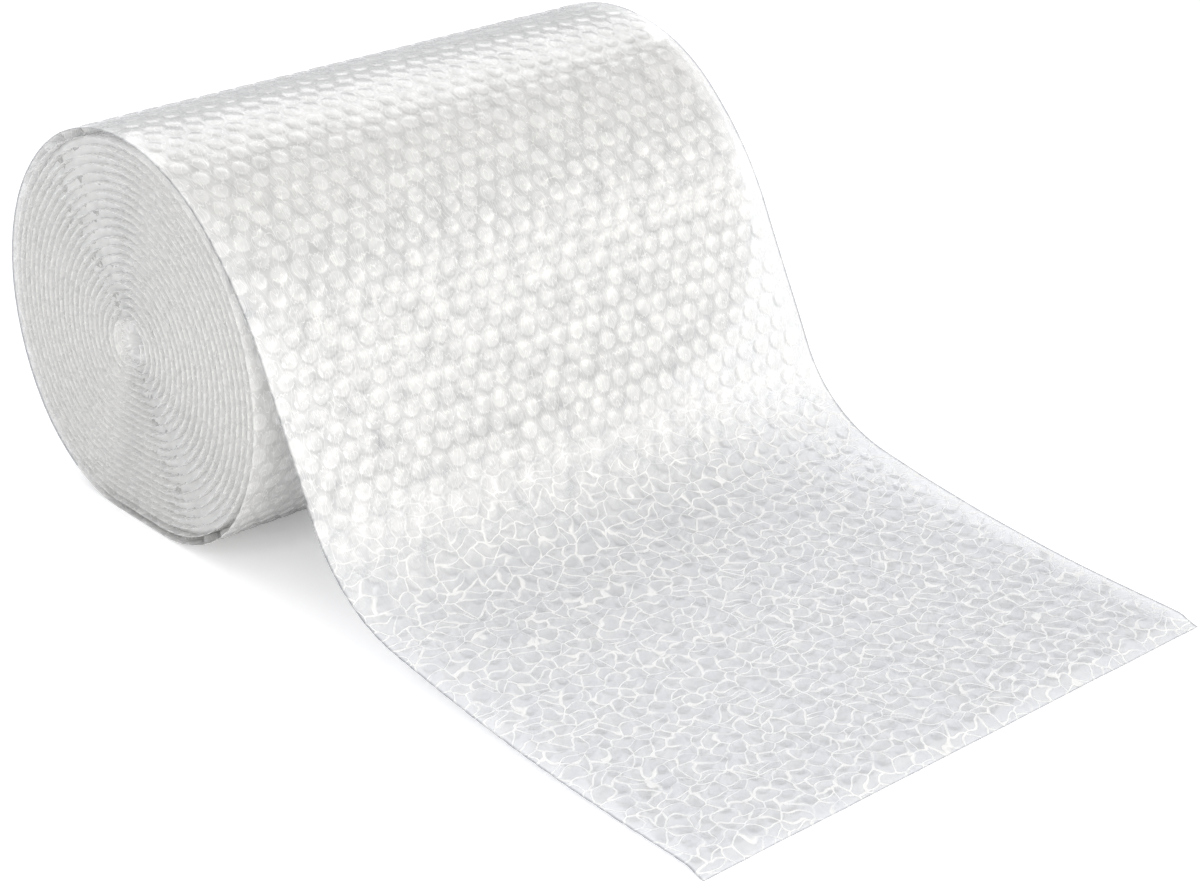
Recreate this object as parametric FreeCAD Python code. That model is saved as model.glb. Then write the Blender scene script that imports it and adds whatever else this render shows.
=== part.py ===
import FreeCAD, Part
import math
import os

# Small-bubble cushioning film, wound with no tube inside, lying on its side with its loose end drawn out over
# the floor. X runs along the roll's width, the loose end points to -Y and Z is up. The origin is the middle of
# the flat spot that the roll's own weight gives it. The turns are one solid: what shows of the gap between them
# is cut into both ends.

# Sizes of the sheet, in millimetres
roll_width = 300.0        # the sheet is 12 inches wide
sheet_thickness = 3.6     # from the flat film to the bubble tops, as wound
film_thickness = 0.6      # the sheet at the seam between two rows of bubbles
bubble_pitch = 10.5       # from one bubble to the next in a row
seam_width = 0.9          # flat film between the feet of two rows
bubble_slant = 1.1        # how far a bubble's side leans in on its way up
film_bulge = 0.4          # how far the flat film swells out over a row

# Sizes of the roll
roll_radius = 101.8
core_radius = 6.0         # what is left open in the middle, where there is no tube
turn_gap = 0.6            # air between one turn and the next
gap_depth = 4.0           # how far it is cut in from either end
flat_depth = 9.6          # how far the weight flattens the roll
flat_width = 36.0         # the flat spot, along Y
floor_press = 0.2         # how far what lies on the floor is pressed flat

# Sizes of the loose end, which leaves the roll's top and runs down to the floor; angles in degrees
leave_angle = 39.5        # from the roll's top to where the sheet leaves it
leave_radius = 167.0      # of the bow as it leaves
slope_angle = 62.1        # of the straight stretch
foot_radius = 73.4        # of the bend at the foot
glide_angle = 9.1         # below which the sheet flattens out slowly
glide_radius = 962.0
floor_run = 40.0          # the last stretch, flat on the floor

# What follows from them
turn_pitch = sheet_thickness + turn_gap
turn_sag = turn_gap * 2 / 3    # how far a straight stretch of a turn strays from the true curve
row_pitch = bubble_pitch * math.sqrt(3) / 2
leave, slope, glide = (math.radians(a) for a in (leave_angle, slope_angle, glide_angle))
full_turn = 2 * math.pi
turns = (roll_radius - sheet_thickness - core_radius) / turn_pitch
lowest_radius = roll_radius - turn_pitch * (math.pi + leave) / full_turn
axis_height = lowest_radius - flat_depth

# A turn is a circle above, flat below, and a larger arc blends the two. These are shares of its radius.
flat_drop = (axis_height + floor_press) / lowest_radius
flat_half = flat_width / 2 / lowest_radius
blend = (1 - flat_drop**2 - flat_half**2) / (2 * (1 - flat_drop))
flat_end = math.atan2(flat_half, flat_drop)
blend_end = math.atan2(flat_half, flat_drop - blend)


# The radius of a turn at an angle from the top, as a share of its full radius
def squash(angle):
    below = abs(math.pi - angle % full_turn)
    if below >= blend_end:
        return 1.0
    if below <= flat_end:
        return flat_drop / math.cos(below)
    along = flat_half * math.sin(below) + (flat_drop - blend) * math.cos(below)
    return along + math.sqrt(along**2 + blend**2 - flat_half**2 - (flat_drop - blend)**2)


# A point of the wound sheet: the angle is from the top towards the back, and depth is below the film's outer
# face
def on_turn(angle, depth):
    radius = roll_radius - turn_pitch * (angle + leave) / full_turn - depth
    reach = radius * squash(angle)
    return FreeCAD.Vector(0, reach * math.sin(angle), axis_height + reach * math.cos(angle))


# The loose end is a chain of stretches, each with its length and the sheet's slope where it starts and ends.
# The straight one is as long as it takes to bring the bubble tops down to the floor.
def loose_end():
    start = on_turn(-leave, 0)
    bends = (leave_radius * (math.cos(leave) - math.cos(slope))
             + foot_radius * (math.cos(glide) - math.cos(slope))
             + glide_radius * (1 - math.cos(glide)))
    straight = (start.z - sheet_thickness + floor_press - bends) / math.sin(slope)
    return [(leave_radius * (slope - leave), leave, slope),
            (straight, slope, slope),
            (foot_radius * (slope - glide), slope, glide),
            (glide_radius * glide, glide, 0.0),
            (floor_run, 0.0, 0.0)]


# A point of the loose end, at a distance along it from where it leaves the roll
def on_loose_end(distance, depth):
    point = on_turn(-leave, 0)
    angle = leave
    for length, first, last in loose_end():
        part = min(distance, length)
        angle = first + (last - first) * part / length
        if first == last:
            point += FreeCAD.Vector(0, -part * math.cos(first), -part * math.sin(first))
        else:
            bend = length / (last - first)
            point += FreeCAD.Vector(0, -bend * (math.sin(angle) - math.sin(first)),
                                    bend * (math.cos(angle) - math.cos(first)))
        distance -= part
        if distance <= 0:
            break
    return point + FreeCAD.Vector(0, depth * math.sin(angle), -depth * math.cos(angle))


# Runs are counted from where the sheet leaves the roll: below zero on the loose end, above it on the outermost
# turn
def on_sheet(run, depth):
    if run < 0:
        return on_loose_end(-run, depth)
    return on_turn(run / roll_radius - leave, depth)


def line(start, end):
    return Part.LineSegment(start, end).toShape()


def arc(start, middle, end):
    return Part.Arc(start, middle, end).toShape()


# Where the rows of bubbles start and end on a stretch of the sheet, evenly spaced
def row_starts(first, last):
    rows = round((last - first) / row_pitch)
    return [first + (last - first) * n / rows for n in range(rows + 1)]


# The outer face of the rows of bubbles: flat seams with the film swelling between them
def swollen_side(starts):
    edges = []
    corner = on_sheet(starts[0], 0)
    for first, last in zip(starts, starts[1:]):
        foot = on_sheet(first + seam_width / 2, 0)
        far_foot = on_sheet(last - seam_width / 2, 0)
        crown = on_sheet((first + last) / 2, -film_bulge)
        edges += [line(corner, foot), arc(foot, crown, far_foot)]
        corner = far_foot
    return edges + [line(corner, on_sheet(starts[-1], 0))]


# The inner face of the rows: each bubble rises from the film to a flat top
def bubble_side(starts):
    edges = []
    corner = on_sheet(starts[0], film_thickness)
    for first, last in zip(starts, starts[1:]):
        near, far = first + seam_width / 2, last - seam_width / 2
        corners = [on_sheet(near, film_thickness),
                   on_sheet(near + bubble_slant, sheet_thickness),
                   on_sheet(far - bubble_slant, sheet_thickness),
                   on_sheet(far, film_thickness)]
        for point in corners:
            edges.append(line(corner, point))
            corner = point
    return edges + [line(corner, on_sheet(starts[-1], film_thickness))]


# The section of the loose end and the roll, from the cut edge on the floor
def section():
    loose = sum(length for length, first, last in loose_end())
    loose_rows = row_starts(-loose, 0)
    turn_rows = row_starts(0, full_turn * roll_radius)
    outside = swollen_side(loose_rows) + swollen_side(turn_rows)
    inside = bubble_side(loose_rows)
    ends = [line(on_sheet(-loose, 0), on_sheet(-loose, film_thickness)),
            line(on_sheet(0, film_thickness), on_turn(full_turn - leave, 0))]
    return Part.Face(Part.Wire(Part.__sortEdges__(outside + inside + ends)))


# The gap between the turns, from where the sheet leaves the roll to the open middle. Its stretches get shorter
# as the turns get tighter.
def gap_section():
    start = -leave - seam_width / 3 / roll_radius
    last = full_turn * turns - leave
    stops = [start]
    while stops[-1] < last:
        radius = roll_radius - turn_pitch * (stops[-1] + leave) / full_turn
        stops.append(min(last, stops[-1] + math.sqrt(8 * turn_sag / radius)))
    outer = [on_turn(stop, sheet_thickness) for stop in stops]
    second_turn = [start + full_turn] + [stop for stop in stops if stop > start + full_turn]
    inner = [on_turn(stop, 0) for stop in second_turn]
    return Part.Face(Part.makePolygon(outer + inner[::-1] + outer[:1]))


# A section made solid from one place along the width to another
def between(face, first, last):
    moved = face.translated(FreeCAD.Vector(first, 0, 0))
    return moved.extrude(FreeCAD.Vector(last - first, 0, 0))


# The sheet at its full width, with the gap cut into its ends and what the floor presses flat taken off
def film_roll():
    end = roll_width / 2
    past = end + gap_depth
    solid = between(section(), -end, end)
    gap = gap_section()
    solid = solid.cut([between(gap, -past, gap_depth - end), between(gap, end - gap_depth, past)])
    box = solid.BoundBox
    margin = sheet_thickness
    floor = Part.makeBox(box.XLength + 2 * margin, box.YLength + 2 * margin, margin,
                         FreeCAD.Vector(box.XMin - margin, box.YMin - margin, -margin))
    return solid.cut(floor).Solids[0]


os.makedirs("parts", exist_ok=True)
film_roll().exportStep("parts/bubble_wrap_roll.step")
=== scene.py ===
import math
import bmesh
import bpy
import numpy as np
from mathutils import Matrix, Vector
from mathutils.kdtree import KDTree


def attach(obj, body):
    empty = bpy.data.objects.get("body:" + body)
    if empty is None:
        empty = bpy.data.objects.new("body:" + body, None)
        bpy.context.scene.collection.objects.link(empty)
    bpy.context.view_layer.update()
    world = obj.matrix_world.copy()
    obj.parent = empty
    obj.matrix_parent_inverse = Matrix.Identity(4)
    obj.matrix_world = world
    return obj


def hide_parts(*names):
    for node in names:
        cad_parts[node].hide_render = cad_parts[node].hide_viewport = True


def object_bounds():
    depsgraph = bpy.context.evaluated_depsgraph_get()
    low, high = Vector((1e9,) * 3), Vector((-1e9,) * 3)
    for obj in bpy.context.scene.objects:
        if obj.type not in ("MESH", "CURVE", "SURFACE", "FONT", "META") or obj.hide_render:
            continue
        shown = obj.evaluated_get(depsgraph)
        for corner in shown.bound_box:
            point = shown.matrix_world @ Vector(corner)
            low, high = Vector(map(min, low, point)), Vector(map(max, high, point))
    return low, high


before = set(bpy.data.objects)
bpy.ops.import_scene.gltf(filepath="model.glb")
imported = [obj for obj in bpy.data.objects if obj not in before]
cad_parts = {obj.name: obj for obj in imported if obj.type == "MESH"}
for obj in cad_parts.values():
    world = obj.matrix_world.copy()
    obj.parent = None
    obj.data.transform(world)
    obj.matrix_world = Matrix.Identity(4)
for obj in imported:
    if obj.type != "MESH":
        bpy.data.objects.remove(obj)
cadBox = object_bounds()
mm = 0.001

# The sheet: a flat film outwards and a bubble film inwards, welded together round every bubble. In millimetres.
sheet = {
    "width": (cadBox[1].x - cadBox[0].x) / mm,
    "bubblePitch": 10.5,       # from one bubble to the next in a row
    "bubbleRadius": 4.5,       # of a bubble's foot
    "shoulderRadius": 3.5,     # where a bubble's side turns into its top
    "bubbleHeight": 3.5,
    "weldThickness": 0.16,     # the two films between the bubbles
    "bulge": 0.45,             # how far the flat film swells out over a bubble
}
rowPitch = sheet["bubblePitch"] * math.sqrt(3) / 2

# The roll and its loose end, in millimetres and degrees
roll = {
    "radius": 101.8,
    "coreRadius": 6.0,         # what is left open in the middle
    "turnPitch": 4.2,
    "flatDepth": 9.6,          # how far the roll's weight flattens it
    "flatWidth": 36.0,
    "leaveAngle": 39.5,        # from the top to where the sheet leaves the roll
    "leaveRadius": 167.0,
    "slopeAngle": 62.1,
    "footRadius": 73.4,
    "glideAngle": 9.1,
    "glideRadius": 962.0,
    "floorRun": 40.0,
    "tailHeight": 3.4,         # of the flat film above the floor, where the sheet lies on its bubbles
    "edgeHeight": 0.6,         # at its cut edge, where the bubbles are cut open
    "edgeDroop": 12.0,         # the stretch along which it comes down to that
}
leave, slope, glide = (math.radians(roll[k]) for k in ("leaveAngle", "slopeAngle", "glideAngle"))
lowestRadius = roll["radius"] - roll["turnPitch"] * (math.pi + leave) / (2 * math.pi)
axisHeight = lowestRadius - roll["flatDepth"]


def turnShare(angle):
    # a turn is a circle above, flat below and a larger arc between; this is its radius as a share of the full one
    drop = axisHeight / lowestRadius
    half = roll["flatWidth"] / 2 / lowestRadius
    blend = (1 - drop**2 - half**2) / (2 * (1 - drop))
    below = np.abs(np.pi - angle % (2 * np.pi))
    flatEnd, blendEnd = math.atan2(half, drop), math.atan2(half, drop - blend)
    along = half * np.sin(below) + (drop - blend) * np.cos(below)
    bent = along + np.sqrt(np.maximum(along**2 + blend**2 - half**2 - (drop - blend)**2, 0))
    flat = drop / np.cos(np.minimum(below, flatEnd))
    return np.where(below <= flatEnd, flat, np.where(below < blendEnd, bent, 1.0))


def turnPoints(angle, depth=0.0):
    # angle from the top towards the back, depth below the flat film; y and z in millimetres
    reach = (roll["radius"] - roll["turnPitch"] * (angle + leave) / (2 * np.pi) - depth) * turnShare(angle)
    return reach * np.sin(angle), axisHeight + reach * np.cos(angle)


def loosePoints(step):
    # the loose end from the roll to its cut edge: its slope changes evenly along each stretch
    y, z = turnPoints(np.array([-leave]))
    bends = (roll["leaveRadius"] * (math.cos(leave) - math.cos(slope))
             + roll["footRadius"] * (math.cos(glide) - math.cos(slope))
             + roll["glideRadius"] * (1 - math.cos(glide)))
    straight = (z[0] - roll["tailHeight"] - bends) / math.sin(slope)
    lengths = [0, roll["leaveRadius"] * (slope - leave), straight, roll["footRadius"] * (slope - glide),
               roll["glideRadius"] * glide, roll["floorRun"]]
    ends = np.cumsum(lengths)
    places = np.linspace(0, ends[-1], int(ends[-1] / step))
    middles = (places[1:] + places[:-1]) / 2
    slopes = np.interp(middles, ends, [leave, slope, slope, glide, 0, 0])
    gaps = np.diff(places)
    past = np.clip((places - ends[-1]) / roll["edgeDroop"] + 1, 0, 1)
    droop = (roll["tailHeight"] - roll["edgeHeight"]) * past**2 * (3 - 2 * past)
    return (np.concatenate([y, y - np.cumsum(gaps * np.cos(slopes))]),
            np.concatenate([z, z - np.cumsum(gaps * np.sin(slopes))]) - droop)


def sheetPath(step=0.8):
    # the flat film's line from the cut edge on the floor to the middle of the roll, with the length run so far
    looseY, looseZ = loosePoints(step)
    turns = (roll["radius"] - sheet["bubbleHeight"] - roll["coreRadius"]) / roll["turnPitch"]
    angles = np.linspace(-leave, 2 * np.pi * turns - leave, int(turns * 420))
    y, z = turnPoints(angles)
    points = np.column_stack([np.concatenate([looseY[::-1], y[1:]]), np.concatenate([looseZ[::-1], z[1:]])])
    runs = np.concatenate([[0], np.cumsum(np.hypot(*np.diff(points, axis=0).T))])
    return points, runs, runs[len(looseY) - 1], runs[len(looseY) - 1 + 420 - 1]


pathPoints, pathRuns, looseLength, firstTurnEnd = sheetPath()
looseRows = round(looseLength / rowPitch)
rowStep = looseLength / looseRows      # a whole number of rows fits the loose end
print(f"sheet: {pathRuns[-1] / 1000:.2f} m long, {looseLength:.0f} mm of it loose in {looseRows} rows")


def addNode(tree, kind, inputs=None, **settings):
    # one node with its settings, its plain values and the links that come into it
    made = tree.nodes.new(kind)
    for name, value in settings.items():
        setattr(made, name, value)
    for key, value in (inputs or {}).items():
        if isinstance(value, bpy.types.NodeSocket):
            tree.links.new(value, made.inputs[key])
        else:
            made.inputs[key].default_value = value
    return made


def srgb(code):
    # an sRGB hex colour as linear red, green, blue and alpha
    parts = [int(code[n:n + 2], 16) / 255 for n in (1, 3, 5)]
    return tuple(p / 12.92 if p <= 0.04045 else ((p + 0.055) / 1.055)**2.4 for p in parts) + (1.0,)


def newObject(name, mesh):
    made = bpy.data.objects.new(name, mesh)
    bpy.context.scene.collection.objects.link(made)
    return made


def addTree(name, sockets):
    # an empty Geometry Nodes tree with a geometry in and out and these named inputs
    tree = bpy.data.node_groups.new(name, "GeometryNodeTree")
    tree.interface.new_socket("Geometry", in_out="INPUT", socket_type="NodeSocketGeometry")
    for label, kind in sockets.items():
        tree.interface.new_socket(label, in_out="INPUT", socket_type="NodeSocket" + kind)
    tree.interface.new_socket("Geometry", in_out="OUTPUT", socket_type="NodeSocketGeometry")
    return tree, tree.nodes.new("NodeGroupInput").outputs, tree.nodes.new("NodeGroupOutput")


def grow(name, mesh, tree, values):
    # the mesh that a tree makes of this one, as a plain mesh
    holder = newObject(name, mesh)
    modifier = holder.modifiers.new(tree.name, "NODES")
    modifier.node_group = tree
    for item in tree.interface.items_tree:
        if item.in_out == "INPUT" and item.name in values:
            modifier[item.identifier] = values[item.name]
    bpy.context.view_layer.update()
    made = bpy.data.meshes.new_from_object(holder.evaluated_get(bpy.context.evaluated_depsgraph_get()))
    made.name = name
    bpy.data.objects.remove(holder)
    return made


# One cell of the sheet: the flat film's bulge above, the bubble below, and the weld as a hexagon round both
def cellObject(name, sides):
    # each ring: radius, rise of the flat film, drop of the bubble and the mark that the film's material reads
    rings = [("weld", 0, 0, 1.0), (sheet["bubbleRadius"], 0.02, 0.1, 0.6),
             (sheet["shoulderRadius"], 0.6 * sheet["bulge"], 0.9 * sheet["bubbleHeight"], 0.3)]
    half = sheet["weldThickness"] / 2
    bm = bmesh.new()
    weld = bm.verts.layers.float.new("weld")
    side = bm.verts.layers.float.new("side")
    for up in (1, -1):
        rows = []
        for radius, rise, drop, mark in rings:
            row = []
            for n in range(sides):
                turn = 2 * math.pi * n / sides + math.pi / 6
                reach = radius
                if radius == "weld":   # a hexagon's corners stand out further than the middles of its sides
                    corner = (turn - math.pi / 6) % (math.pi / 3) < 0.01
                    reach = sheet["bubblePitch"] / (math.sqrt(3) if corner else 2)
                height = half + rise if up > 0 else -half - drop
                along = reach * math.sin(turn) * rowStep / rowPitch
                vert = bm.verts.new(Vector((reach * math.cos(turn), along, height)) * mm)
                vert[weld] = mark
                vert[side] = up
                row.append(vert)
            rows.append(row)
        top = half + sheet["bulge"] if up > 0 else -half - sheet["bubbleHeight"]
        middle = bm.verts.new((0, 0, top * mm))
        middle[side] = up
        for n in range(sides):
            m = (n + 1) % sides
            for outer, inner in zip(rows, rows[1:]):
                face = [outer[n], outer[m], inner[m], inner[n]]
                bm.faces.new(face if up > 0 else face[::-1])
            face = [rows[-1][n], rows[-1][m], middle]
            bm.faces.new(face if up > 0 else face[::-1])
    mesh = bpy.data.meshes.new(name)
    bm.to_mesh(mesh)
    bm.free()
    cell = newObject(name, mesh)
    cell.hide_render = True
    return cell


# Rows of cells in a flat sheet: X across the width, Y along it, Z outwards
def latticeTree():
    tree, given, out = addTree("bubbleRows", {
        "Cell": "Object", "First Row": "Int", "Rows": "Int", "First Column": "Int", "Columns": "Int",
        "Pitch": "Float", "Row Pitch": "Float", "Half Width": "Float", "Unevenness": "Float", "Wave": "Float",
        "Least Height": "Float", "Flat Cells": "Float", "Seed": "Int", "Film": "Material"})

    def math2(operation, first, second):
        return addNode(tree, "ShaderNodeMath", {0: first, 1: second}, operation=operation).outputs[0]

    index = addNode(tree, "GeometryNodeInputIndex").outputs[0]
    row = math2("FLOOR", math2("DIVIDE", math2("ADD", index, 0.5), given["Columns"]), 0.0)
    column = math2("SUBTRACT", index, math2("MULTIPLY", row, given["Columns"]))
    row = math2("ADD", row, given["First Row"])
    shift = math2("MULTIPLY", math2("MODULO", math2("ADD", row, 1000.0), 2.0), 0.5)
    across = math2("MULTIPLY", math2("ADD", math2("ADD", column, given["First Column"]), shift), given["Pitch"])
    along = math2("MULTIPLY", math2("ADD", row, 0.5), given["Row Pitch"])
    spot = addNode(tree, "ShaderNodeCombineXYZ", {0: across, 1: along})
    points = addNode(tree, "GeometryNodePoints", {
        "Count": math2("MULTIPLY", given["Rows"], given["Columns"]), "Position": spot.outputs[0]})
    cell = addNode(tree, "GeometryNodeObjectInfo", {"Object": given["Cell"]})
    cells = addNode(tree, "GeometryNodeInstanceOnPoints", {
        "Points": points.outputs[0], "Instance": cell.outputs["Geometry"]})
    # each bubble has a height of its own; a few are flat, and so are those that the sheet's edges cut
    height = addNode(tree, "FunctionNodeRandomValue", {
        2: given["Least Height"], 3: 1.0, "Seed": given["Seed"]}, data_type="FLOAT").outputs[1]
    chance = addNode(tree, "FunctionNodeRandomValue", {
        2: 0.0, 3: 1.0, "Seed": math2("ADD", given["Seed"], 1.0)}, data_type="FLOAT").outputs[1]
    full = math2("GREATER_THAN", chance, given["Flat Cells"])
    height = math2("MULTIPLY", height, math2("MAXIMUM", full, 0.3))
    place = addNode(tree, "ShaderNodeSeparateXYZ", {0: addNode(tree, "GeometryNodeInputPosition").outputs[0]})
    inset = math2("SUBTRACT", given["Half Width"], math2("ABSOLUTE", place.outputs[0], 0.0))
    whole = addNode(tree, "ShaderNodeMapRange", {
        0: inset, 1: math2("MULTIPLY", given["Pitch"], 0.5), 2: math2("MULTIPLY", given["Pitch"], 0.7),
        3: 0.08, 4: 1.0}).outputs[0]
    past = addNode(tree, "ShaderNodeMapRange", {
        0: place.outputs[1], 1: given["Row Pitch"], 2: math2("MULTIPLY", given["Row Pitch"], 1.2),
        3: 0.08, 4: 1.0}).outputs[0]
    height = math2("MAXIMUM", math2("MULTIPLY", height, math2("MULTIPLY", whole, past)), 0.07)
    stored = addNode(tree, "GeometryNodeStoreNamedAttribute", {
        "Geometry": cells.outputs[0], "Name": "lift", "Value": height}, data_type="FLOAT", domain="INSTANCE")
    real = addNode(tree, "GeometryNodeRealizeInstances", {"Geometry": stored.outputs[0]})
    # the welds stay, the rest rises by its cell's height
    position = addNode(tree, "GeometryNodeInputPosition").outputs[0]
    here = addNode(tree, "ShaderNodeSeparateXYZ", {0: position})
    lift = addNode(tree, "GeometryNodeInputNamedAttribute", {"Name": "lift"}, data_type="FLOAT").outputs[0]
    weld = addNode(tree, "GeometryNodeInputNamedAttribute", {"Name": "weld"}, data_type="FLOAT").outputs[0]
    isWeld = math2("GREATER_THAN", weld, 0.9)
    drop = math2("MULTIPLY", math2("MULTIPLY", here.outputs[2], math2("SUBTRACT", lift, 1.0)),
                 math2("SUBTRACT", 1.0, isWeld))
    # a real sheet's bubbles don't sit on a perfect grid, and the sheet is never quite flat
    flatPlace = addNode(tree, "ShaderNodeVectorMath", {0: position, 1: (1.0, 1.0, 0.0)}, operation="MULTIPLY")
    fine = addNode(tree, "ShaderNodeTexNoise", {"Vector": flatPlace.outputs[0], "Scale": 70.0, "Detail": 1.0})
    pull = addNode(tree, "ShaderNodeVectorMath", {0: fine.outputs["Color"], 1: (0.5, 0.5, 0.5)}, operation="SUBTRACT")
    pull = addNode(tree, "ShaderNodeVectorMath", {0: pull.outputs[0], 3: given["Unevenness"]}, operation="SCALE")
    pullXY = addNode(tree, "ShaderNodeVectorMath", {0: pull.outputs[0], 1: (1.0, 1.0, 0.0)}, operation="MULTIPLY")
    broad = addNode(tree, "ShaderNodeTexNoise", {"Vector": flatPlace.outputs[0], "Scale": 22.0, "Detail": 1.0})
    wave = math2("MULTIPLY", math2("SUBTRACT", broad.outputs[0], 0.5), given["Wave"])
    offset = addNode(tree, "ShaderNodeCombineXYZ", {2: math2("ADD", drop, wave)})
    offset = addNode(tree, "ShaderNodeVectorMath", {0: offset.outputs[0], 1: pullXY.outputs[0]}, operation="ADD")
    uneven = addNode(tree, "GeometryNodeSetPosition", {"Geometry": real.outputs[0], "Offset": offset.outputs[0]})
    joined = addNode(tree, "GeometryNodeMergeByDistance", {"Geometry": uneven.outputs[0], "Distance": 0.005 * mm})
    plain = addNode(tree, "GeometryNodeRealizeInstances", {"Geometry": joined.outputs[0]})
    shown = addNode(tree, "GeometryNodeSetMaterial", {"Geometry": plain.outputs[0], "Material": given["Film"]})
    tree.links.new(shown.outputs[0], out.inputs[0])
    return tree


# Lays the flat sheet along the roll's line
def wrapTree():
    tree, given, out = addTree("layAlongSheet", {"Line": "Object", "Film": "Material"})
    line = addNode(tree, "GeometryNodeObjectInfo", {"Object": given["Line"]})
    position = addNode(tree, "GeometryNodeInputPosition").outputs[0]
    flat = addNode(tree, "GeometryNodeStoreNamedAttribute", {
        "Geometry": given["Geometry"], "Name": "flatPlace", "Value": position}, data_type="FLOAT_VECTOR", domain="POINT")
    part = addNode(tree, "ShaderNodeSeparateXYZ", {0: position})
    along = addNode(tree, "GeometryNodeSampleCurve", {
        "Curves": line.outputs["Geometry"], "Length": part.outputs[1]}, mode="LENGTH", use_all_curves=True)
    outward = addNode(tree, "ShaderNodeVectorMath", {0: (1.0, 0.0, 0.0), 1: along.outputs["Tangent"]},
                      operation="CROSS_PRODUCT")
    rise = addNode(tree, "ShaderNodeVectorMath", {0: outward.outputs[0], 3: part.outputs[2]}, operation="SCALE")
    across = addNode(tree, "ShaderNodeCombineXYZ", {0: part.outputs[0]})
    place = addNode(tree, "ShaderNodeVectorMath", {0: along.outputs["Position"], 1: rise.outputs[0]}, operation="ADD")
    place = addNode(tree, "ShaderNodeVectorMath", {0: place.outputs[0], 1: across.outputs[0]}, operation="ADD")
    laid = addNode(tree, "GeometryNodeSetPosition", {"Geometry": flat.outputs[0], "Position": place.outputs[0]})
    smooth = addNode(tree, "GeometryNodeSetShadeSmooth", {"Geometry": laid.outputs[0]})
    plain = addNode(tree, "GeometryNodeRealizeInstances", {"Geometry": smooth.outputs[0]})
    shown = addNode(tree, "GeometryNodeSetMaterial", {"Geometry": plain.outputs[0], "Material": given["Film"]})
    tree.links.new(shown.outputs[0], out.inputs[0])
    return tree


def lineObject(points):
    curve = bpy.data.curves.new("sheetLine", "CURVE")
    curve.dimensions = "3D"
    spline = curve.splines.new("POLY")
    spline.points.add(len(points) - 1)
    flat = np.column_stack([np.zeros(len(points)), points * mm, np.ones(len(points))])
    spline.points.foreach_set("co", flat.ravel())
    made = bpy.data.objects.new("sheetLine", curve)
    bpy.context.scene.collection.objects.link(made)
    return made


def trimAndClose(mesh, cuts):
    # cuts the flat sheet along straight lines, then joins its two films all along their open edges
    bm = bmesh.new()
    bm.from_mesh(mesh)
    for place, outwards in cuts:
        everything = bm.verts[:] + bm.edges[:] + bm.faces[:]
        bmesh.ops.bisect_plane(bm, geom=everything, plane_co=place, plane_no=outwards, clear_outer=True)
    side = bm.verts.layers.float["side"]
    rim = [e for e in bm.edges if e.is_boundary]
    for edge in rim:
        edge.smooth = False      # so that the film stays flat up to its edge
    lower = list({v: 0 for e in rim for v in e.verts if v[side] < 0})
    tree = KDTree(len(lower))
    for n, vert in enumerate(lower):
        tree.insert((vert.co.x, vert.co.y, 0), n)
    tree.balance()
    for edge in rim:
        a, b = edge.verts
        if a[side] < 0 or b[side] < 0:
            continue
        if edge.link_loops[0].vert == b:
            a, b = b, a
        under = [lower[tree.find((v.co.x, v.co.y, 0))[1]] for v in (a, b)]
        if under[0] != under[1] and bm.edges.get(under):
            bm.faces.new([b, a, under[0], under[1]])
    bm.normal_update()
    bm.to_mesh(mesh)
    bm.free()


line = lineObject(pathPoints)
lattice, wrap = latticeTree(), wrapTree()
fineCell, coarseCell = cellObject("fineCell", 12), cellObject("coarseCell", 6)


def filmPiece(name, cell, firstRow, rows, columns, cuts, film, height=0.8, flatCells=0.0, wave=0.0, seed=1):
    # columns: the first column and how many; rows are counted from the cut edge on the floor
    start = bpy.data.meshes.new(name)
    half = sheet["width"] / 2
    flat = grow(name, start, lattice, {
        "Cell": cell, "First Row": firstRow, "Rows": rows, "First Column": columns[0], "Columns": columns[1],
        "Pitch": sheet["bubblePitch"] * mm, "Row Pitch": rowStep * mm, "Half Width": half * mm,
        "Unevenness": 3.0 * mm, "Wave": wave * mm, "Least Height": height, "Flat Cells": flatCells, "Seed": seed,
        "Film": film})
    trimAndClose(flat, cuts)
    mesh = grow(name, flat, wrap, {"Line": line, "Film": film})
    piece = newObject(name, mesh)
    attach(piece, "root")
    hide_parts("bubble_wrap_roll")
    print(f"{name}: {len(mesh.polygons)} faces")
    return piece


# Low-density polyethylene film, blown and welded: clear but hazy, with a soft gloss that its fine wrinkles break up.
# On the roll the bubbles are whiter than the welds; where the sheet lies on the floor, creased, a net of fine white
# lines shows instead. "roll" and "floor" give the two.
film = {
    "haze": "#FCFCFB",
    # painted shade: the loose end's film lets less light through than the roll's, and bluer, so the stretch towards
    # the floor looks shaded and cool
    "clear": {"roll": "#FCFCFC", "loose": "#F5F6F8"},
    "shadedTintEnds": (0.36, 0.41),                     # metres from the cut edge, over which the loose end's painted shade gives way to the roll's tint
    "cellHaze": {"roll": 0.46, "floor": 0.17},     # how much of the light a film stops over a bubble
    "ringHaze": {"roll": 0.56, "floor": 0.23},     # round the bubble, where its side turns into its top
    "weldHaze": {"roll": 0.35, "floor": 0.23},     # between the bubbles
    "creaseHaze": {"roll": 0.0, "floor": 2.0},
    "roughness": {"roll": 0.13, "floor": 0.4},
    "floorEnds": (0.205, 0.265),                    # metres from the cut edge
    "edgeHaze": 0.2,                               # more of it where the film is seen edge on
    "throughShare": 0.35,                          # of the haze that lets light through to the other side
    "ior": 1.51,
    "creaseCell": (8.5, 6.5),                      # millimetres across and along the sheet between creases
    "creaseWidth": 0.55,
    "creaseDrift": 8.0,
    "cutShadeWidth": 1.2,                               # millimetres of painted shade along the cut edges: darker film standing in for the thin shadow there
    "cutShadeColour": "#C4C6CA",
    "cutShadeHaze": 0.4,                                # share of the haze that is left in that painted shade
    "glintStrokeHaze": {"roll": 0.3, "floor": 0.0},     # painted highlights: thin white lines along the wrinkles, where they would catch the light
    "wrinkle": (2.0, 6.0),                         # millimetres across and along from one wrinkle to the next
    "wrinkleDepth": 0.09,
}


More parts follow.
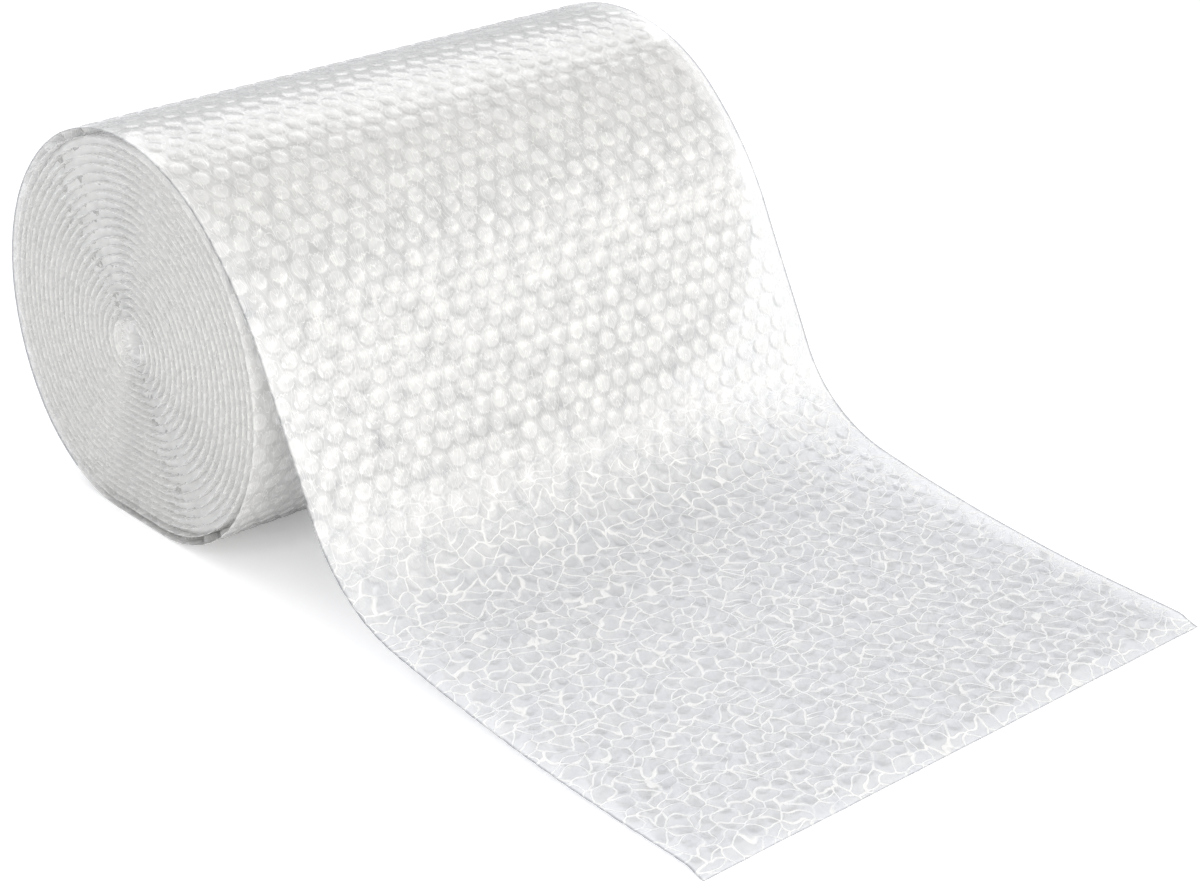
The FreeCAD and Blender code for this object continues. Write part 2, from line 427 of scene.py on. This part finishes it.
def filmMaterial(name, values, creased=False, paintedEdgeShade=True):
    material = bpy.data.materials.new(name)
    material.use_nodes = True
    tree = material.node_tree
    tree.nodes.clear()

    def mathNode(operation, first, second=0.0, clamp=False):
        return addNode(tree, "ShaderNodeMath", {0: first, 1: second}, operation=operation, use_clamp=clamp).outputs[0]

    def rangeNode(value, first, last, low, high):
        return addNode(tree, "ShaderNodeMapRange", {
            "Value": value, "From Min": first, "From Max": last, "To Min": low, "To Max": high}).outputs[0]

    def mapped(vector, across, along):
        return addNode(tree, "ShaderNodeVectorMath", {0: vector, 1: (1 / (across * mm), 1 / (along * mm), 0.0)},
                       operation="MULTIPLY").outputs[0]

    weld = addNode(tree, "ShaderNodeAttribute", attribute_name="weld").outputs["Fac"]
    flat = addNode(tree, "ShaderNodeAttribute", attribute_name="flatPlace").outputs["Vector"]
    parts = addNode(tree, "ShaderNodeSeparateXYZ", {0: flat})
    onRoll = rangeNode(parts.outputs[1], *values["floorEnds"], 0.0, 1.0)

    def byPlace(key):
        return rangeNode(onRoll, 0.0, 1.0, values[key]["floor"], values[key]["roll"])

    wrinkles = addNode(tree, "ShaderNodeTexNoise", {
        "Vector": mapped(flat, *values["wrinkle"]), "Scale": 1.0, "Detail": 0.0}, noise_dimensions="2D").outputs["Fac"]
    bump = addNode(tree, "ShaderNodeBump", {
        "Height": wrinkles, "Distance": values["wrinkleDepth"] * mm, "Strength": 1.0}).outputs[0]
    clouds = addNode(tree, "ShaderNodeTexNoise", {"Vector": flat, "Scale": 100.0, "Detail": 0.0},
                     noise_dimensions="2D")
    # the haze changes from the bubble's middle to its ring and again to the weld
    inner = rangeNode(weld, 0.0, 0.3, byPlace("cellHaze"), byPlace("ringHaze"))
    outer = rangeNode(weld, 0.3, 0.6, 0.0, mathNode("SUBTRACT", byPlace("weldHaze"), byPlace("ringHaze")))
    haze = mathNode("MULTIPLY", mathNode("ADD", inner, outer), mathNode("ADD", clouds.outputs["Fac"], 0.55))
    # painted highlights: thin lines of white haze along the wrinkles
    glintStrokes = rangeNode(mathNode("ABSOLUTE", mathNode("SUBTRACT", wrinkles, 0.5)), 0.0, 0.05, 1.0, 0.0)
    haze = mathNode("ADD", haze, mathNode("MULTIPLY", glintStrokes, byPlace("glintStrokeHaze")))
    edge = addNode(tree, "ShaderNodeLayerWeight", {"Blend": 0.3}).outputs["Facing"]
    haze = mathNode("ADD", haze, mathNode("MULTIPLY", edge, values["edgeHaze"]))
    if creased:
        drift = addNode(tree, "ShaderNodeVectorMath", {
            0: clouds.outputs["Color"], 3: values["creaseDrift"] * mm}, operation="SCALE").outputs[0]
        strayed = addNode(tree, "ShaderNodeVectorMath", {0: flat, 1: drift}, operation="ADD").outputs[0]
        creases = addNode(tree, "ShaderNodeTexVoronoi", {
            "Vector": mapped(strayed, *values["creaseCell"]), "Scale": 1.0},
            feature="DISTANCE_TO_EDGE", voronoi_dimensions="2D").outputs["Distance"]
        creases = rangeNode(creases, 0.0, values["creaseWidth"] / values["creaseCell"][1], 1.0, 0.0)
        creases = mathNode("MULTIPLY", creases, clouds.outputs["Fac"])
        haze = mathNode("ADD", haze, mathNode("MULTIPLY", creases, byPlace("creaseHaze")))
    haze = mathNode("MINIMUM", haze, 1.0)
    front = addNode(tree, "ShaderNodeBsdfDiffuse", {"Color": srgb(values["haze"]), "Normal": bump}).outputs[0]
    through = addNode(tree, "ShaderNodeBsdfTranslucent", {"Color": srgb(values["haze"]), "Normal": bump}).outputs[0]
    milky = addNode(tree, "ShaderNodeMixShader", {0: values["throughShare"], 1: front, 2: through}).outputs[0]
    # painted shade: the loose end's film is tinted darker and bluer than the roll's
    shadedTint = addNode(tree, "ShaderNodeMix", {
        "Factor": rangeNode(parts.outputs[1], *values["shadedTintEnds"], 0.0, 1.0),
        6: srgb(values["clear"]["loose"]), 7: srgb(values["clear"]["roll"])}, data_type="RGBA").outputs[2]
    # painted shade: darker, clearer film along the cut edges, standing in for the thin shadow along them
    if paintedEdgeShade:
        fromSide = mathNode("SUBTRACT", half, mathNode("ABSOLUTE", parts.outputs[0]))
        cut = rangeNode(mathNode("MINIMUM", fromSide, parts.outputs[1]), 0.4 * mm, values["cutShadeWidth"] * mm, 1.0, 0.0)
        shadedTint = addNode(tree, "ShaderNodeMix", {"Factor": cut, 6: shadedTint, 7: srgb(values["cutShadeColour"])},
                       data_type="RGBA").outputs[2]
        haze = mathNode("MULTIPLY", haze, rangeNode(cut, 0.0, 1.0, 1.0, values["cutShadeHaze"]))
    clear = addNode(tree, "ShaderNodeBsdfTransparent", {"Color": shadedTint}).outputs[0]
    body = addNode(tree, "ShaderNodeMixShader", {0: haze, 1: clear, 2: milky}).outputs[0]
    shine = addNode(tree, "ShaderNodeBsdfAnisotropic", {
        "Color": (1, 1, 1, 1), "Roughness": byPlace("roughness"), "Normal": bump}).outputs[0]
    # a film's two faces together, alike from both sides
    least = 2 * ((values["ior"] - 1) / (values["ior"] + 1))**2
    facing = addNode(tree, "ShaderNodeLayerWeight", {"Blend": 0.5, "Normal": bump}).outputs["Facing"]
    mirror = rangeNode(mathNode("POWER", facing, 5.0), 0.0, 1.0, least, 1.0)
    surface = addNode(tree, "ShaderNodeMixShader", {0: mirror, 1: body, 2: shine}).outputs[0]
    addNode(tree, "ShaderNodeOutputMaterial", {"Surface": surface})
    return material


half = sheet["width"] / 2 * mm
clearFilm = filmMaterial("LDPE film, clear", film)
creasedFilm = filmMaterial("LDPE film, creased", film, creased=True)
woundFilm = filmMaterial("LDPE film, wound", film, paintedEdgeShade=False)
columnsAcross = math.ceil(sheet["width"] / sheet["bubblePitch"]) + 2
sides = [((half, 0, 0), (1, 0, 0)), ((-half, 0, 0), (-1, 0, 0))]
endCut = [((0, 0.4 * mm, 0), (0, -1, 0))]
turnRows = round((firstTurnEnd - looseLength) / rowStep) + 4
allColumns = (-columnsAcross // 2, columnsAcross + 1)
filmPiece("loose_end", fineCell, -1, looseRows + 1, allColumns, sides + endCut, creasedFilm, wave=0.9)
filmPiece("outer_turn_back", fineCell, looseRows, turnRows // 2, allColumns, sides, clearFilm, wave=0.9)
filmPiece("outer_turn_front", fineCell, looseRows + turnRows // 2, turnRows - turnRows // 2, allColumns, sides,
          woundFilm, wave=0.9)

# The rest of the turns, of which only the ends can be seen into: strips of the same sheet at both ends of the roll
wound = {"stripWidth": 16.0, "columns": 3}
woundFirst = looseRows + turnRows
woundRows = int(pathRuns[-1] / rowStep) - woundFirst
for name, sideSign in (("turns_left", -1), ("turns_right", 1)):
    inner = sideSign * (half - wound["stripWidth"] * mm)
    cuts = sides + [((inner, 0, 0), (-sideSign, 0, 0))]
    firstColumn = -math.ceil(columnsAcross / 2) if sideSign < 0 else math.ceil(columnsAcross / 2) - wound["columns"]
    filmPiece(name, coarseCell, woundFirst, woundRows, (firstColumn, wound["columns"]), cuts, woundFilm,
              height=0.6, flatCells=0.15, seed=5)


# What is many turns deep can't be seen through: the milky body of the roll, from end to end below the outermost turn
inside = {
    "inset": 4.5,             # how far in from the sheet's edges it starts
    "depth": 4.3,             # below the outermost turn's film
    "colour": "#FBFBFA",
    "ringSteps": 44,
    "aroundSteps": 180,
}


def insideMesh():
    bm = bmesh.new()
    count = inside["aroundSteps"]
    angles = np.linspace(-leave, 2 * np.pi - leave, count, endpoint=False)
    rng = np.random.default_rng(11)
    steps = np.linspace(0, 1, inside["ringSteps"])
    rings = []
    end = sheet["width"] / 2 - inside["inset"]
    outerReach = roll["radius"] - roll["turnPitch"] * (angles + leave) / (2 * np.pi) - inside["depth"]

    def ring(x, reach, rough=0.0):
        radius = reach * turnShare(angles)
        xs = x + rough * (rng.random(count) - 0.5)
        return [bm.verts.new(Vector((xs[n], radius[n] * math.sin(a), axisHeight + radius[n] * math.cos(a))) * mm)
                for n, a in enumerate(angles)]

    for side in (-1, 1):
        for share in steps if side > 0 else steps[::-1]:
            reach = outerReach * share + roll["coreRadius"] * (1 - share)
            rings.append(ring(side * end, reach, rough=1.2 if 0 < share < 1 else 0.0))
    for first, second in zip(rings, rings[1:] + rings[:1]):
        for n in range(count):
            m = (n + 1) % count
            bm.faces.new([first[n], first[m], second[m], second[n]])
    bmesh.ops.recalc_face_normals(bm, faces=bm.faces)
    mesh = bpy.data.meshes.new("milky_inside")
    bm.to_mesh(mesh)
    bm.free()
    mesh.shade_smooth()
    return mesh


# Many turns of the same film together: white, with the bubbles of the turn below faintly there and painted shade in
# the gaps between them
def milkyMaterial():
    material = bpy.data.materials.new("LDPE film, many turns")
    material.use_nodes = True
    tree = material.node_tree
    tree.nodes.clear()
    place = addNode(tree, "ShaderNodeTexCoord").outputs["Object"]
    cells = addNode(tree, "ShaderNodeTexVoronoi", {"Vector": place, "Scale": 1 / (9.5 * mm), "Randomness": 0.5})
    # painted shade: darker towards each cell's edge, in the gaps between the turn below's bubbles
    gapShade = addNode(tree, "ShaderNodeMapRange", {
        "Value": cells.outputs["Distance"], "From Max": 0.7, "To Min": 1.0, "To Max": 0.9}).outputs[0]
    colour = addNode(tree, "ShaderNodeMix", {
        "Factor": 1.0, 6: srgb(inside["colour"]), 7: gapShade}, data_type="RGBA", blend_type="MULTIPLY").outputs[2]
    bump = addNode(tree, "ShaderNodeBump", {
        "Height": cells.outputs["Distance"], "Distance": 1.2 * mm, "Strength": 0.8}).outputs[0]
    surface = addNode(tree, "ShaderNodeBsdfPrincipled", {
        "Base Color": colour, "Roughness": 0.45, "IOR": 1.51, "Normal": bump}).outputs[0]
    addNode(tree, "ShaderNodeOutputMaterial", {"Surface": surface})
    return material


milky = newObject("milky_inside", insideMesh())
milky.data.materials.append(milkyMaterial())
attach(milky, "root")
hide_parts("bubble_wrap_roll")
for helper in (line, fineCell, coarseCell):
    bpy.data.objects.remove(helper)
print("roll: all pieces made")

# The photograph's camera, found from the roll's outline: millimetres and degrees
camera = {"place": (-765.67, -1010.68, 609.94), "azimuth": -41.83, "elevation": 25.94, "roll": 0.85, "lens": 83.99}


def addCamera():
    a, e, r = (math.radians(camera[k]) for k in ("azimuth", "elevation", "roll"))
    back = Vector((math.sin(a) * math.cos(e), -math.cos(a) * math.cos(e), math.sin(e)))
    right = Vector((0, 0, 1)).cross(back).normalized()
    up = back.cross(right)
    right, up = right * math.cos(r) + up * math.sin(r), up * math.cos(r) - right * math.sin(r)
    data = bpy.data.cameras.new("camera")
    data.lens = camera["lens"]
    made = bpy.data.objects.new("camera", data)
    bpy.context.scene.collection.objects.link(made)
    turn = Matrix((right, up, back)).transposed().to_4x4()
    made.matrix_world = Matrix.Translation(Vector(camera["place"]) * mm) @ turn
    bpy.context.scene.camera = made


# Soft studio light: a broad one in front, a long one above and behind for the band along the roll, and an even sky
lamps = {
    "key": {"place": (-0.3, -2.2, 0.6), "size": (1.6, 1.0), "power": 35.4, "colour": "#FFFCF5"},
    "sheen": {"place": (1.32, -1.37, 1.1), "size": (1.4, 0.5), "power": 3.1, "colour": "#FFFCF5"},
    "left": {"place": (-2.4, -0.5, 0.5), "size": (1.4, 1.0), "power": 7.2, "colour": "#FFFDFA"},
    "spark": {"place": (-1.5, -1.0, 1.7), "size": (0.25, 0.25), "power": 3.0, "colour": "#FFFFFF"},
    "back": {"place": (0.75, 1.0, 1.25), "size": (1.4, 0.8), "power": 5.9, "colour": "#FFFFFF"},
    "rear": {"place": (-0.8, 1.5, 1.5), "size": (1.2, 1.0), "power": 9.4, "colour": "#FFFFFF"},
}
sky = {"colour": "#F8F9FC", "strength": 0.68}


def addLamps():
    target = (cadBox[0] + cadBox[1]) / 2
    for name, values in lamps.items():
        data = bpy.data.lights.new(name, "AREA")
        data.shape = "RECTANGLE"
        data.size, data.size_y = values["size"]
        data.energy = values["power"]
        data.color = srgb(values["colour"])[:3]
        made = bpy.data.objects.new(name, data)
        made.location = values["place"]
        made.rotation_euler = (target - Vector(values["place"])).to_track_quat("-Z", "Y").to_euler()
        bpy.context.scene.collection.objects.link(made)


def addSky():
    world = bpy.data.worlds.new("sky")
    world.use_nodes = True
    bpy.context.scene.world = world
    tree = world.node_tree
    tree.nodes.clear()
    path = addNode(tree, "ShaderNodeLightPath")
    lit = addNode(tree, "ShaderNodeBackground", {"Color": srgb(sky["colour"]), "Strength": sky["strength"]}).outputs[0]
    seen = addNode(tree, "ShaderNodeBackground", {"Color": (1, 1, 1, 1), "Strength": 1.0}).outputs[0]
    mixed = addNode(tree, "ShaderNodeMixShader", {0: path.outputs["Is Camera Ray"], 1: lit, 2: seen}).outputs[0]
    addNode(tree, "ShaderNodeOutputWorld", {"Surface": mixed})


def addFloor():
    mesh = bpy.data.meshes.new("floor")
    reach = 6.0
    mesh.from_pydata([(-reach, -reach, 0), (reach, -reach, 0), (reach, reach, 0), (-reach, reach, 0)], [], [(0, 1, 2, 3)])
    mesh.transform(Matrix.Translation((0, 0, -0.4 * mm)))
    floor = newObject("floor", mesh)
    material = bpy.data.materials.new("White studio paper")
    material.use_nodes = True
    tree = material.node_tree
    tree.nodes.clear()
    paper = addNode(tree, "ShaderNodeBsdfDiffuse", {"Color": srgb("#F8F8F9")}).outputs[0]
    # far from the roll, where the lamps don't reach, the paper is lifted further
    place = addNode(tree, "ShaderNodeTexCoord").outputs["Object"]
    away = addNode(tree, "ShaderNodeVectorMath", {0: place}, operation="LENGTH").outputs["Value"]
    strength = addNode(tree, "ShaderNodeMapRange", {
        "Value": away, "From Min": 0.9, "From Max": 3.0, "To Min": 0.25, "To Max": 0.5}).outputs[0]
    lift = addNode(tree, "ShaderNodeEmission", {"Color": (1, 1, 1, 1), "Strength": strength}).outputs[0]
    both = addNode(tree, "ShaderNodeAddShader", {0: paper, 1: lift}).outputs[0]
    path = addNode(tree, "ShaderNodeLightPath")
    mixed = addNode(tree, "ShaderNodeMixShader", {0: path.outputs["Is Camera Ray"], 1: paper, 2: both}).outputs[0]
    addNode(tree, "ShaderNodeOutputMaterial", {"Surface": mixed})
    mesh.materials.append(material)


addCamera()
addLamps()
addSky()
addFloor()
bpy.context.scene.view_settings.view_transform = "Standard"
bpy.context.scene.cycles.diffuse_bounces = 2
print("stage: camera, lamps, sky and floor made")
